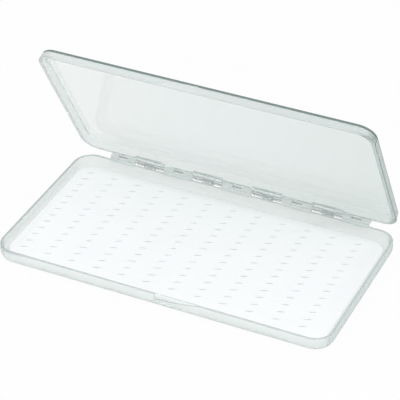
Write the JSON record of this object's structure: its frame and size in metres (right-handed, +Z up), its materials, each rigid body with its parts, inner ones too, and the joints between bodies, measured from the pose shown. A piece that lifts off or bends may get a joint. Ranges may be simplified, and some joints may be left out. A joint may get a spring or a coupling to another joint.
{
  "type": "lure box",
  "caption": "Slim clear case with a pin-hinged lid, open, and a white slit foam bed in the base for flies and small lures.",
  "frame": {"origin": "centre of the base tray's flat underside, under the middle of the case without its hinge", "axes": "+X along the box to the right, +Y from the front wall to the hinge, +Z up"},
  "size_m": [0.186, 0.103, 0.0978],
  "materials": {
    "clear_base": "clear, polished",
    "clear_lid": "clear, polished",
    "steel_pin": "drawn wire",
    "film": "matt",
    "foam": "fine closed-cell foam"
  },
  "bodies": {
    "base": {"base_tray": "clear_base", "hinge_pin": "steel_pin", "adhesive_film": "film", "foam_pad": "foam"},
    "cover": {"lid": "clear_lid"}
  },
  "joints": [
    {"name": "lid_hinge", "type": "hinge", "parent": "base", "child": "cover", "pos_m": [0, 0.0517, 0.0085], "axis": [-1, 0, 0], "range_deg": [-61.25, 118.75]}
  ]
}
